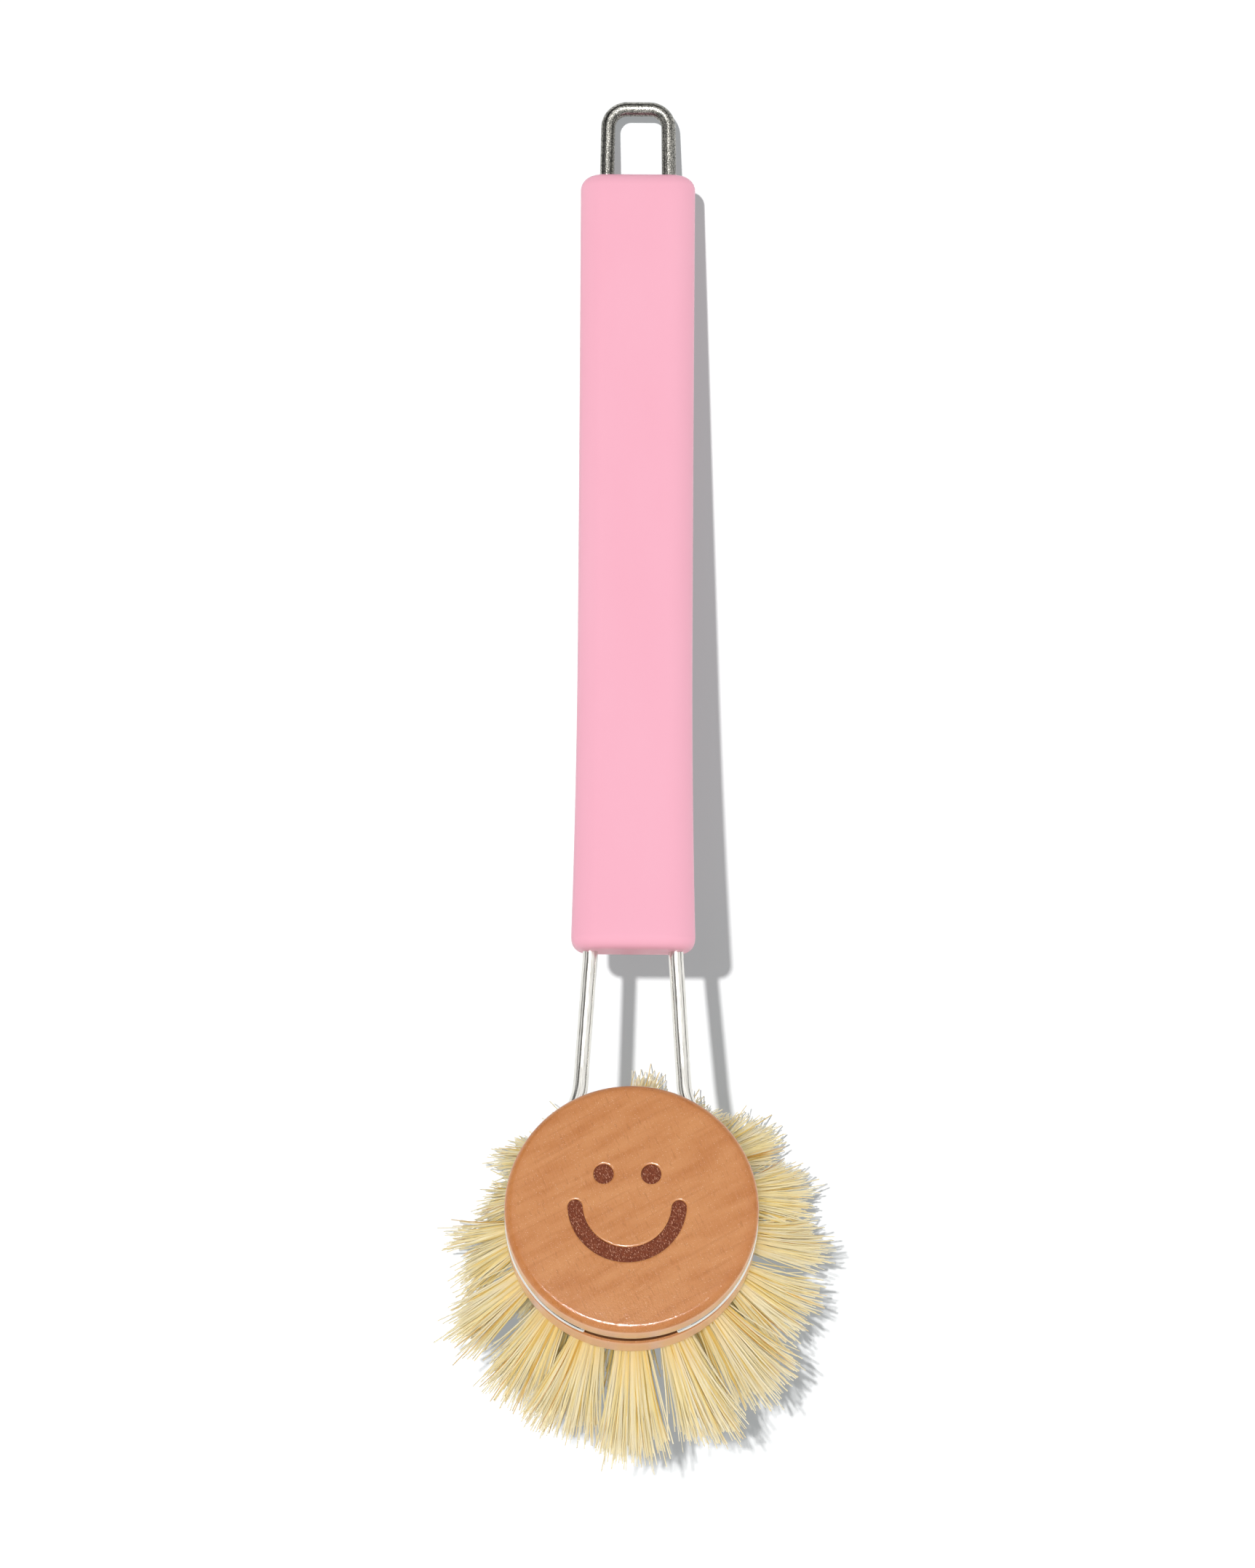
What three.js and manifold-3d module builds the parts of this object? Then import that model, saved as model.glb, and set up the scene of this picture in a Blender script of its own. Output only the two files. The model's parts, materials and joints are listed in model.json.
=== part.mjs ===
// A dish brush lying on a table: a lacquered wooden handle on one bent spring wire,
// whose fork clips into the groove of a round wooden head set with plant fibre.
// Millimetres. In the brush's own frame the handle runs along +Y, from its fork end at
// y = 0 to its hanging loop, at mid-thickness z = 0, with the top of the brush towards +Z.
import * as THREE from "three";
import { mergeVertices } from "three/addons/utils/BufferGeometryUtils.js";
import Module from "manifold-3d";

const wasm = await Module();
wasm.setup();

// Handle
const HANDLE_LENGTH = 129.4;
const HANDLE_THICKNESS = 11;
const HANDLE_FORK_WIDTH = 20.1;
const HANDLE_WAIST_WIDTH = 18.7;
const HANDLE_LOOP_WIDTH = 19;
const HANDLE_WAIST_FROM_FORK = 50;
const HANDLE_EDGE_RADIUS = 4;
const HANDLE_END_RADIUS = 2.2;

// Wire
const WIRE_DIAMETER = 2.4;
const BORE_CLEARANCE = 0.3;
const LOOP_LEG_SPACING = 10.3;
const LOOP_REACH = 13.7;
const LOOP_BEND_RADIUS = 3.2;
const FORK_LEG_SPACING = 13.8;
const FORK_SPLAY_DEG = 3.8;
const MOUTH_BEND_GAP = 1;
const MOUTH_BEND_RADIUS = 12;
const KNEE_FROM_HANDLE = 18.5;
const KNEE_RADIUS = 10;
const HEAD_TILT_DEG = 10.3;
const ARM_BEND_RADIUS = 10;
const ARM_END_DEG = 21.5;
const NECK_GAP = 5.9;

// Head
const HEAD_DIAMETER = 40;
const HEAD_THICKNESS = 14.6;
const TOP_PLATE_THICKNESS = 4.9;
const HEAD_TOP_EDGE_RADIUS = 1.3;
const HEAD_LOWER_EDGE_RADIUS = 1.2;
const GROOVE_SIDE_CLEARANCE = 0.25;
const GROOVE_FLOOR_CLEARANCE = 0.3;
const WIRE_ABOVE_RIM = 0.1;

// Fibre tufts and their anchors
const ROW_NAMES = ["outer", "middle", "inner"];
const OUTER_ROW_INSET = 4.8;
const INNER_ROW_RADIUS = 3.8;
const TUFT_PITCH = 5.9;
const TUFT_DIAMETER = 3.6;
const TUFT_HOLE_DEPTH = 5;
const TUFT_SPLAY_DEG = 30.5;
const HOLE_SPLAY_DEG = 26;
const FIBRE_LENGTH = 27.4;
const TUFT_TIP_DIAMETER = 9.4;
const STRAND_ROOT_WIDTH = 0.5;
const STRAND_TIP_WIDTH = 0.4;
const STRANDS_PER_TUFT = 16;
const ROOT_PLATE_THICKNESS = 1.6;
const SEAT_CLEARANCE = 0.3;
const ANCHOR_THICKNESS = 0.4;
const ANCHOR_HEIGHT = 1.8;
const ANCHOR_POINT = 0.5;

// Facets
const WIRE_SIDES = 10;
const HOLE_SIDES = 8;
const STRAND_SIDES = 3;
const HEAD_SEGMENTS = 44;
const ROOT_PLATE_SEGMENTS = 36;
const GOLDEN_ANGLE = Math.PI * (3 - Math.sqrt(5));

const wireRadius = WIRE_DIAMETER / 2;
const headRadius = HEAD_DIAMETER / 2;
const ringRadius = headRadius + WIRE_ABOVE_RIM - wireRadius;
const headTilt = THREE.MathUtils.degToRad(HEAD_TILT_DEG);
const forkSplay = THREE.MathUtils.degToRad(FORK_SPLAY_DEG);
const grooveWidth = WIRE_DIAMETER + 2 * GROOVE_SIDE_CLEARANCE;
const headTop = grooveWidth / 2 + TOP_PLATE_THICKNESS;
const headBottom = headTop - HEAD_THICKNESS;
const rootPlateTop = headBottom + ROOT_PLATE_THICKNESS;
const seatFloor = rootPlateTop + SEAT_CLEARANCE;

const materials = {
  lacquer: new THREE.MeshStandardMaterial({ color: "#ffbacc", roughness: 0.45, metalness: 0 }),
  steel: new THREE.MeshStandardMaterial({ color: "#c9c8c4", roughness: 0.3, metalness: 1 }),
  wood: new THREE.MeshStandardMaterial({ color: "#d99868", roughness: 0.35, metalness: 0 }),
  fibre: new THREE.MeshStandardMaterial({ color: "#e8dca0", roughness: 0.8, metalness: 0 }),
};

// Joining and cutting

function solidOf(geometry) {
  const bare = geometry.clone();
  bare.deleteAttribute("normal");
  bare.deleteAttribute("uv");
  const merged = mergeVertices(bare, 1e-4);
  return new wasm.Manifold(
    new wasm.Mesh({
      numProp: 3,
      vertProperties: merged.attributes.position.array,
      triVerts: new Uint32Array(merged.index.array),
    }),
  );
}

function geometryOf(solid) {
  const mesh = solid.getMesh();
  const geometry = new THREE.BufferGeometry();
  geometry.setAttribute("position", new THREE.BufferAttribute(mesh.vertProperties, 3));
  geometry.setIndex(new THREE.BufferAttribute(mesh.triVerts, 1));
  geometry.computeVertexNormals();
  return geometry;
}

function named(name, geometry, material) {
  const mesh = new THREE.Mesh(geometry, material);
  mesh.name = name;
  return mesh;
}

// Regular polygon whose flats lie at least the given distance from its centre.
function polygon(flatDistance, sides) {
  const radius = flatDistance / Math.cos(Math.PI / sides);
  const points = [];
  for (let i = 0; i < sides; i++) {
    const angle = (2 * Math.PI * i) / sides;
    points.push(new THREE.Vector2(radius * Math.cos(angle), radius * Math.sin(angle)));
  }
  return new THREE.Shape(points);
}

// Straight bar of constant section from one point to another.
function barBetween(shape, start, end) {
  const path = new THREE.LineCurve3(start, end);
  return new THREE.ExtrudeGeometry(shape, { steps: 1, extrudePath: path });
}

// Arc as points in a plane, with angles from the second axis towards the first.
function arcPoints(centre, radius, from, to, steps) {
  const points = [];
  for (let i = 0; i <= steps; i++) {
    const angle = from + ((to - from) * i) / steps;
    points.push(
      new THREE.Vector2(centre.x + radius * Math.sin(angle), centre.y + radius * Math.cos(angle)),
    );
  }
  return points;
}

// Handle: a bar of rounded section with rounded ends, drawn in a little at its waist

const legAtFork = new THREE.Vector3(FORK_LEG_SPACING / 2, 0, 0);
const legAtLoop = new THREE.Vector3(LOOP_LEG_SPACING / 2, HANDLE_LENGTH, 0);

function handleWidthAt(y) {
  const toFork = y < HANDLE_WAIST_FROM_FORK;
  const endWidth = toFork ? HANDLE_FORK_WIDTH : HANDLE_LOOP_WIDTH;
  const reach = toFork ? HANDLE_WAIST_FROM_FORK : HANDLE_LENGTH - HANDLE_WAIST_FROM_FORK;
  const share = (y - HANDLE_WAIST_FROM_FORK) / reach;
  return HANDLE_WAIST_WIDTH + (endWidth - HANDLE_WAIST_WIDTH) * share * share;
}

function roundedRectangle(width, height, radius) {
  const x = width / 2 - radius;
  const y = height / 2 - radius;
  const shape = new THREE.Shape();
  shape.absarc(x, -y, radius, -Math.PI / 2, 0);
  shape.absarc(x, y, radius, 0, Math.PI / 2);
  shape.absarc(-x, y, radius, Math.PI / 2, Math.PI);
  shape.absarc(-x, -y, radius, Math.PI, 1.5 * Math.PI);
  return shape;
}

function makeHandle() {
  const section = roundedRectangle(HANDLE_WAIST_WIDTH, HANDLE_THICKNESS, HANDLE_EDGE_RADIUS);
  const bar = new THREE.ExtrudeGeometry(section, {
    depth: HANDLE_LENGTH - 2 * HANDLE_END_RADIUS,
    steps: 14,
    curveSegments: 5,
    bevelThickness: HANDLE_END_RADIUS,
    bevelSize: HANDLE_END_RADIUS,
    bevelOffset: -HANDLE_END_RADIUS,
    bevelSegments: 3,
  });
  bar.translate(0, 0, HANDLE_END_RADIUS - HANDLE_LENGTH);
  bar.rotateX(Math.PI / 2);
  const position = bar.attributes.position;
  for (let i = 0; i < position.count; i++) {
    const widening = (handleWidthAt(position.getY(i)) - HANDLE_WAIST_WIDTH) / 2;
    const x = position.getX(i);
    position.setX(i, x + Math.sign(x) * widening * Math.min(1, Math.abs(x) / HANDLE_EDGE_RADIUS));
  }
  let solid = solidOf(bar);
  const boreSection = polygon(wireRadius + BORE_CLEARANCE, WIRE_SIDES);
  for (const side of [-1, 1]) {
    const mirror = new THREE.Vector3(side, 1, 1);
    const fork = legAtFork.clone().multiply(mirror);
    const loop = legAtLoop.clone().multiply(mirror);
    const overrun = loop.clone().sub(fork).setLength(WIRE_DIAMETER);
    const bore = barBetween(boreSection, fork.sub(overrun), loop.add(overrun));
    solid = solid.subtract(solidOf(bore));
  }
  return named("handle", geometryOf(solid), materials.lacquer);
}

// Wire: stations along the bent centreline, close together only where it bends

class WirePath extends THREE.Curve {
  constructor(stations) {
    super();
    this.stations = stations;
  }
  // Steps are even in stations and not in length.
  getUtoTmapping(u) {
    return u;
  }
  nearest(t) {
    return this.stations[Math.round(t * (this.stations.length - 1))];
  }
  getPoint(t, target = new THREE.Vector3()) {
    return target.copy(this.nearest(t).point);
  }
  getTangent(t, target = new THREE.Vector3()) {
    return target.copy(this.nearest(t).tangent);
  }
}

// Stations round the corner between two straight runs.
function corner(before, at, after, radius, steps) {
  const into = at.clone().sub(before).normalize();
  const out = after.clone().sub(at).normalize();
  const turn = into.angleTo(out);
  const setback = radius * Math.tan(turn / 2);
  const start = at.clone().addScaledVector(into, -setback);
  const inward = out.clone().addScaledVector(into, -Math.cos(turn)).normalize();
  const stations = [];
  for (let i = 0; i <= steps; i++) {
    const angle = (turn * i) / steps;
    stations.push({
      point: start
        .clone()
        .addScaledVector(into, radius * Math.sin(angle))
        .addScaledVector(inward, radius * (1 - Math.cos(angle))),
      tangent: into
        .clone()
        .multiplyScalar(Math.cos(angle))
        .addScaledVector(inward, Math.sin(angle)),
    });
  }
  return stations;
}

// The ring lies in the head's plane, which meets the handle's plane along the knee line.
const kneeToCentre = NECK_GAP + ringRadius;
const ringCentre = new THREE.Vector3(
  0,
  -KNEE_FROM_HANDLE - kneeToCentre * Math.cos(headTilt),
  kneeToCentre * Math.sin(headTilt),
);

// A point of the head's plane: x across, v from the ring's centre towards the handle.
function inRingPlane(x, v) {
  return new THREE.Vector3(
    x,
    ringCentre.y + v * Math.cos(headTilt),
    ringCentre.z - v * Math.sin(headTilt),
  );
}

// Stations along an arc in the head's plane, turning from one angle to another.
function ringArc(centre, radius, from, to, steps) {
  const way = Math.sign(to - from);
  return arcPoints(centre, radius, from, to, steps).map((p, i) => {
    const angle = from + ((to - from) * i) / steps;
    const ahead = inRingPlane(way * Math.cos(angle), -way * Math.sin(angle));
    return { point: inRingPlane(p.x, p.y), tangent: ahead.sub(ringCentre).normalize() };
  });
}

function halfWire() {
  const mouthX = legAtFork.x + MOUTH_BEND_GAP * ((legAtFork.x - legAtLoop.x) / HANDLE_LENGTH);
  const mouth = new THREE.Vector3(mouthX, -MOUTH_BEND_GAP, 0);
  const kneeX = mouthX + (KNEE_FROM_HANDLE - MOUTH_BEND_GAP) * Math.tan(forkSplay);
  const knee = new THREE.Vector3(kneeX, -KNEE_FROM_HANDLE, 0);

  // The bend from leg to arm touches the leg's line and the outside of the ring.
  const along = new THREE.Vector2(Math.sin(forkSplay), -Math.cos(forkSplay));
  const outward = new THREE.Vector2(Math.cos(forkSplay), Math.sin(forkSplay));
  const offset = new THREE.Vector2(kneeX, kneeToCentre).addScaledVector(outward, ARM_BEND_RADIUS);
  const reach = ringRadius + ARM_BEND_RADIUS;
  const middle = offset.dot(along);
  const run = -middle - Math.sqrt(middle * middle - offset.lengthSq() + reach * reach);
  const bendCentre = offset.clone().addScaledVector(along, run);
  const armStart = Math.atan2(bendCentre.x, bendCentre.y);
  const armEnd = Math.PI - THREE.MathUtils.degToRad(ARM_END_DEG);
  const legEnd = bendCentre.clone().addScaledVector(outward, -ARM_BEND_RADIUS);
  const bendFrom = armStart + Math.PI;
  const bendTo = 1.5 * Math.PI - forkSplay;

  const topY = HANDLE_LENGTH + LOOP_REACH - wireRadius;
  const topX = legAtLoop.x + ((legAtLoop.x - legAtFork.x) * (topY - HANDLE_LENGTH)) / HANDLE_LENGTH;
  const loopCorner = new THREE.Vector3(topX, topY, 0);
  const loopMiddle = new THREE.Vector3(0, topY, 0);

  return [
    ...ringArc(new THREE.Vector2(), ringRadius, armEnd, armStart, 18),
    ...ringArc(bendCentre, ARM_BEND_RADIUS, bendFrom, bendTo, 6).slice(1),
    ...corner(inRingPlane(legEnd.x, legEnd.y), knee, mouth, KNEE_RADIUS, 3),
    ...corner(knee, mouth, legAtLoop, MOUTH_BEND_RADIUS, 2),
    ...corner(mouth, loopCorner, loopMiddle, LOOP_BEND_RADIUS, 6),
  ];
}

function makeWire() {
  const half = halfWire();
  const mirrored = half
    .map(({ point, tangent }) => ({
      point: new THREE.Vector3(-point.x, point.y, point.z),
      tangent: new THREE.Vector3(tangent.x, -tangent.y, -tangent.z),
    }))
    .reverse();
  const stations = [...half, ...mirrored];
  const section = polygon(wireRadius * Math.cos(Math.PI / WIRE_SIDES), WIRE_SIDES);
  const tube = new THREE.ExtrudeGeometry(section, {
    steps: stations.length - 1,
    extrudePath: new WirePath(stations),
  });
  return named("wire_frame", tube, materials.steel);
}

// Head: its own frame has the ring's centre as origin, +Z out of the top face, +Y to the handle

function turned(profile, segments) {
  return new THREE.LatheGeometry(profile, segments).rotateX(Math.PI / 2);
}

// Rows of tufts at an even pitch from the outer row to the inner one.
const outerRowRadius = headRadius - OUTER_ROW_INSET;
const rowPitch = (outerRowRadius - INNER_ROW_RADIUS) / (ROW_NAMES.length - 1);
const seatRadius = outerRowRadius + rowPitch / 2;
const rows = ROW_NAMES.map((name, i) => {
  const radius = outerRowRadius - i * rowPitch;
  const share = radius / outerRowRadius;
  return {
    name,
    radius,
    innermost: i === ROW_NAMES.length - 1,
    count: Math.floor((2 * Math.PI * radius) / TUFT_PITCH),
    splay: THREE.MathUtils.degToRad(TUFT_SPLAY_DEG * share),
    holeSplay: THREE.MathUtils.degToRad(HOLE_SPLAY_DEG * share),
  };
});

// Where a tuft leaves the head: at its row's radius, on the side away from the handle first.
function tuftAngle(row, index) {
  return -Math.PI / 2 + (2 * Math.PI * index) / row.count;
}

function outOfHead(angle, splay) {
  return new THREE.Vector3(
    Math.sin(splay) * Math.cos(angle),
    Math.sin(splay) * Math.sin(angle),
    -Math.cos(splay),
  );
}

// The drilled axis of one tuft hole: the point at the root plate and the way down.
function holeAxis(row, index) {
  const angle = tuftAngle(row, index);
  const down = outOfHead(angle, row.holeSplay);
  const mouth = new THREE.Vector3(row.radius * Math.cos(angle), row.radius * Math.sin(angle), headBottom);
  const fromMouth = (seatFloor - headBottom) / Math.cos(row.holeSplay);
  return { down, top: mouth.addScaledVector(down, -fromMouth - TUFT_HOLE_DEPTH) };
}

function makeHeadBlock() {
  const floorRadius = ringRadius - wireRadius - GROOVE_FLOOR_CLEARANCE;
  const topEdge = new THREE.Vector2(headRadius - HEAD_TOP_EDGE_RADIUS, headTop - HEAD_TOP_EDGE_RADIUS);
  const lowEdge = new THREE.Vector2(
    headRadius - HEAD_LOWER_EDGE_RADIUS,
    headBottom + HEAD_LOWER_EDGE_RADIUS,
  );
  const grooveEnd = new THREE.Vector2(floorRadius + grooveWidth / 2, 0);
  const profile = [
    new THREE.Vector2(0, seatFloor),
    new THREE.Vector2(seatRadius, seatFloor),
    new THREE.Vector2(seatRadius, headBottom),
    ...arcPoints(lowEdge, HEAD_LOWER_EDGE_RADIUS, Math.PI, Math.PI / 2, 3),
    new THREE.Vector2(headRadius, -grooveWidth / 2),
    ...arcPoints(grooveEnd, grooveWidth / 2, Math.PI, 2 * Math.PI, 6),
    new THREE.Vector2(headRadius, grooveWidth / 2),
    ...arcPoints(topEdge, HEAD_TOP_EDGE_RADIUS, Math.PI / 2, 0, 4),
    new THREE.Vector2(0, headTop),
  ];
  let solid = solidOf(turned(profile, HEAD_SEGMENTS));
  const section = polygon(TUFT_DIAMETER / 2, HOLE_SIDES);
  for (const row of rows) {
    for (let i = 0; i < row.count; i++) {
      const { down, top } = holeAxis(row, i);
      const below = top.clone().addScaledVector(down, TUFT_HOLE_DEPTH + TUFT_DIAMETER / 2);
      solid = solid.subtract(solidOf(barBetween(section, top, below)));
    }
  }
  return named("head_block", geometryOf(solid), materials.wood);
}

// One fibre strand: a slender straight bar that narrows to its tip.
function strand(root, tip) {
  const way = tip.clone().sub(root);
  const length = way.length();
  const cone = new THREE.CylinderGeometry(
    STRAND_TIP_WIDTH / 2,
    STRAND_ROOT_WIDTH / 2,
    length,
    STRAND_SIDES,
    1,
  );
  cone.translate(0, length / 2, 0);
  cone.applyQuaternion(
    new THREE.Quaternion().setFromUnitVectors(new THREE.Vector3(0, 1, 0), way.divideScalar(length)),
  );
  return cone.translate(root.x, root.y, root.z);
}

// Strands of one tuft, spread evenly over its hole and fanning out in straight lines.
// Tufts on the two sides of the brush mirror each other.
function tuftStrands(row, index) {
  const angle = tuftAngle(row, index);
  const axis = outOfHead(angle, row.splay);
  const across = new THREE.Vector3(-Math.sin(angle), Math.cos(angle), 0);
  const radial = new THREE.Vector3(Math.cos(angle), Math.sin(angle), 0);
  const raised = new THREE.Vector3().crossVectors(axis, across);
  const centre = radial.clone().multiplyScalar(row.radius).setZ(headBottom + ROOT_PLATE_THICKNESS / 2);
  const rootReach = (TUFT_DIAMETER - STRAND_ROOT_WIDTH) / 2;
  const tipReach = (TUFT_TIP_DIAMETER - STRAND_TIP_WIDTH) / 2;
  const side = Math.cos(angle) < 0 ? -1 : 1;
  const strands = [];
  for (let k = 0; k < STRANDS_PER_TUFT; k++) {
    const share = Math.sqrt((k + 0.5) / STRANDS_PER_TUFT);
    const aside = side * share * Math.cos(k * GOLDEN_ANGLE);
    const outward = share * Math.sin(k * GOLDEN_ANGLE);
    const root = centre
      .clone()
      .addScaledVector(across, aside * rootReach)
      .addScaledVector(radial, outward * rootReach);
    const way = axis
      .clone()
      .multiplyScalar(FIBRE_LENGTH)
      .addScaledVector(across, aside * (tipReach - rootReach))
      .addScaledVector(raised, outward * (tipReach - rootReach));
    strands.push(strand(root, root.clone().add(way.setLength(FIBRE_LENGTH))));
  }
  return strands;
}

// A row of tufts, rooted in the ring of the head's lower face that carries them.
function makeBristleRow(row) {
  const half = (rowPitch - SEAT_CLEARANCE) / 2;
  const inner = row.innermost ? 0 : row.radius - half;
  const plate = [
    new THREE.Vector2(inner, headBottom),
    new THREE.Vector2(row.radius + half, headBottom),
    new THREE.Vector2(row.radius + half, rootPlateTop),
    new THREE.Vector2(inner, rootPlateTop),
  ];
  if (!row.innermost) plate.push(plate[0].clone());
  let solid = solidOf(turned(plate, ROOT_PLATE_SEGMENTS));
  for (let i = 0; i < row.count; i++) {
    for (const one of tuftStrands(row, i)) solid = solid.add(solidOf(one));
  }
  return named("bristles_" + row.name + "_row", geometryOf(solid), materials.fibre);
}

// Flat anchor at the end of a tuft hole, pinning the fold of its tuft.
function makeAnchor(row, index) {
  const half = TUFT_DIAMETER / 2 - SEAT_CLEARANCE;
  const shape = new THREE.Shape([
    new THREE.Vector2(-half, ANCHOR_POINT),
    new THREE.Vector2(ANCHOR_POINT - half, 0),
    new THREE.Vector2(half - ANCHOR_POINT, 0),
    new THREE.Vector2(half, ANCHOR_POINT),
    new THREE.Vector2(half, ANCHOR_HEIGHT),
    new THREE.Vector2(-half, ANCHOR_HEIGHT),
  ]);
  const plate = new THREE.ExtrudeGeometry(shape, { depth: ANCHOR_THICKNESS, bevelEnabled: false });
  plate.translate(0, 0, -ANCHOR_THICKNESS / 2);
  const { down, top } = holeAxis(row, index);
  const angle = tuftAngle(row, index);
  const across = new THREE.Vector3(-Math.sin(angle), Math.cos(angle), 0);
  const basis = new THREE.Matrix4().makeBasis(across, down, across.clone().cross(down));
  const number = String(index + 1).padStart(2, "0");
  const anchor = named("tuft_anchor_" + row.name + "_" + number, plate, materials.steel);
  anchor.quaternion.setFromRotationMatrix(basis);
  anchor.position.copy(top).addScaledVector(down, SEAT_CLEARANCE);
  return anchor;
}

function makeHead() {
  const head = new THREE.Group();
  head.add(makeHeadBlock());
  for (const row of rows) {
    head.add(makeBristleRow(row));
    for (let i = 0; i < row.count; i++) head.add(makeAnchor(row, i));
  }
  head.rotation.x = -headTilt;
  head.position.copy(ringCentre);
  return head;
}

// Resting on a table: the handle's far end and the fibre tips nearest to the handle touch it

function pointsOf(object) {
  object.updateMatrixWorld(true);
  const points = [];
  object.traverse((mesh) => {
    if (!mesh.isMesh) return;
    const position = mesh.geometry.attributes.position;
    for (let i = 0; i < position.count; i++) {
      points.push(new THREE.Vector3().fromBufferAttribute(position, i).applyMatrix4(mesh.matrixWorld));
    }
  });
  return points;
}

function lowest(points, slope) {
  return Math.min(...points.map((p) => p.z * Math.cos(slope) - p.y * Math.sin(slope)));
}

function restingSlope(stem, head) {
  const stemPoints = pointsOf(stem);
  const headPoints = pointsOf(head);
  let flat = 0;
  let steep = Math.PI / 4;
  while (steep - flat > 1e-7) {
    const slope = (flat + steep) / 2;
    if (lowest(headPoints, slope) < lowest(stemPoints, slope)) flat = slope;
    else steep = slope;
  }
  return steep;
}

const stem = new THREE.Group();
stem.add(makeHandle(), makeWire());
const head = makeHead();

const brush = new THREE.Group();
brush.rotation.x = -restingSlope(stem, head);
brush.add(stem, head);

// The origin is on the table, under the middle of the brush's length and width.
const box = new THREE.Box3().setFromObject(brush, true);
const middle = box.getCenter(new THREE.Vector3());
brush.position.set(-middle.x, -middle.y, -box.min.z);

const dishBrush = new THREE.Group();
dishBrush.add(brush);
export default dishBrush;
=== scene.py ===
"""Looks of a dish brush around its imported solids: a lacquered handle, a bent wire, a turned
wooden head with a burnt smile, and tufts of plant fibre. Metres, +Z up, loop towards +Y."""

import json
import math

import bmesh
import bpy
import numpy as np
from mathutils import Matrix, Vector


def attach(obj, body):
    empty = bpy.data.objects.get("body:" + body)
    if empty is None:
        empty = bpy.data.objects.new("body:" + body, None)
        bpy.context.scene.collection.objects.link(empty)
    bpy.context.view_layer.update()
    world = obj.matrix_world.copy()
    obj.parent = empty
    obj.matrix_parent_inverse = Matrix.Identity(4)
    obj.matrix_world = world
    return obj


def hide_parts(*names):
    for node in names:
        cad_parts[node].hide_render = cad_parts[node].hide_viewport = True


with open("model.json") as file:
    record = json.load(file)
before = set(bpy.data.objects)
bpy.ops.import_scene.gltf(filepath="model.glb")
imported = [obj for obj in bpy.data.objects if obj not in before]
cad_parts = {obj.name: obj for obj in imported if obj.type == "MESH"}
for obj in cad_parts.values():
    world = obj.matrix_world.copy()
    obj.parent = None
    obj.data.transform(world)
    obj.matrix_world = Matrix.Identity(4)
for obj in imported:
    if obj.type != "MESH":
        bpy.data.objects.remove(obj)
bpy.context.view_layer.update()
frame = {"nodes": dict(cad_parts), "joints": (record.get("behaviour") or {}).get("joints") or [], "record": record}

MM = 0.001
TINY = 1e-6

# Photograph
IMAGE_WIDTH = 1725
IMAGE_HEIGHT = 2156
CAMERA_HEIGHT = 0.7
FOCAL_PIXELS = 5737
CAMERA_X = -1.09 * MM
CAMERA_Y = -2.33 * MM
CAMERA_ROLL = 0.0067
SENSOR = 36.0

# Light. Levels are for a face turned straight up, directions point to the lamp, angles are in radians
KEY_DIRECTION = (-0.23, 0.2, 1.0)
KEY_ANGLE = 0.035
KEY_HAZE_ANGLE = 0.35
SOFT_DIRECTION = (-0.05, 0.15, 1.0)
SOFT_ANGLE = 0.5
SOFT_LEVEL = 0.565
LEFT_LEVEL = 0.07
RIGHT_LEVEL = 0.05
SIDE_RISE = 0.4
SIDE_ANGLE = 0.8
FIBRE_DIRECTION = (-0.03, 0.1, 1.0)
FIBRE_ANGLE = 0.2
FIBRE_LEVEL = 0.59
GLINT_DIRECTION = (-0.06, 0.2, 1.0)
WIRE_GLINT_ANGLE = 0.14
WIRE_GLINT_LEVEL = 0.67
RIM_GLINT_ANGLE = 0.27
RIM_GLINT_LEVEL = 1.2
FILL_LEVEL = 0.33
FILL_SLANT = (0.2, -0.85, 0.0)

# Table: a low grey with an even glow, under its own strong key, and what diffuse rays see of it
FLOOR_HALF = 3.0
FLOOR_KEY_LEVEL = 2.69
FLOOR_HAZE_LEVEL = 0.08
FLOOR_GREY = 0.25
FLOOR_GLOW = (0.275, 0.29, 0.295)
FLOOR_BOUNCE = 0.075
FLOOR_BOUNCE_GLOW = 0.65

# Room in reflections: (height, brightness) of its walls, (place from left to right, brightness) of a panel
ROOM_WALLS = ((0.0, 0.15), (0.15, 0.1), (0.32, 1.0))
ROOM_PANEL = ((0.1, 0.9), (0.14, 0.05), (0.25, 0.05), (0.3, 1.0))

# Colours, 8 bits a channel
LACQUER_DEEP = (253, 181, 201)
LACQUER_PALE = (255, 188, 207)
WOOD_FIGURE = ((0.32, (195, 121, 62)), (0.5, (208, 137, 79)), (0.68, (214, 145, 87)))
WOOD_VEIN = (184, 110, 56)
WOOD_FIBRE = (218, 152, 98)
WOOD_FLECK = (170, 98, 50)
# Pale specks painted in as tiny highlights on the lacquer
WOOD_PAINTED_GLINT = (248, 214, 172)
# Painted shade on the rounded rim and painted light on the side wall
WOOD_RIM_PAINTED_SHADE = (192, 112, 54)
WOOD_SIDE_PAINTED_LIGHT = (248, 184, 136)
# Painted shade for the inside of the groove
GROOVE_PAINTED_SHADE = (58, 26, 12)
BURNT_WOOD = ((0.3, (104, 44, 20)), (0.7, (132, 64, 36)))
BURNT_SPECK = (226, 168, 136)
STRAW = ((0.0, (198, 140, 56)), (0.2, (234, 200, 112)), (0.5, (250, 233, 173)), (1.0, (252, 242, 211)))
# Golden root colour, painted warm shade between the tufts
STRAW_ROOT_WARM_SHADE = (248, 202, 96)
STRAW_WORN = (242, 212, 126)
STRAW_TIP = (255, 248, 222)

# Metals, linear
STEEL = ((0.3, (0.6, 0.58, 0.53)), (0.6, (0.88, 0.86, 0.81)))
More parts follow.
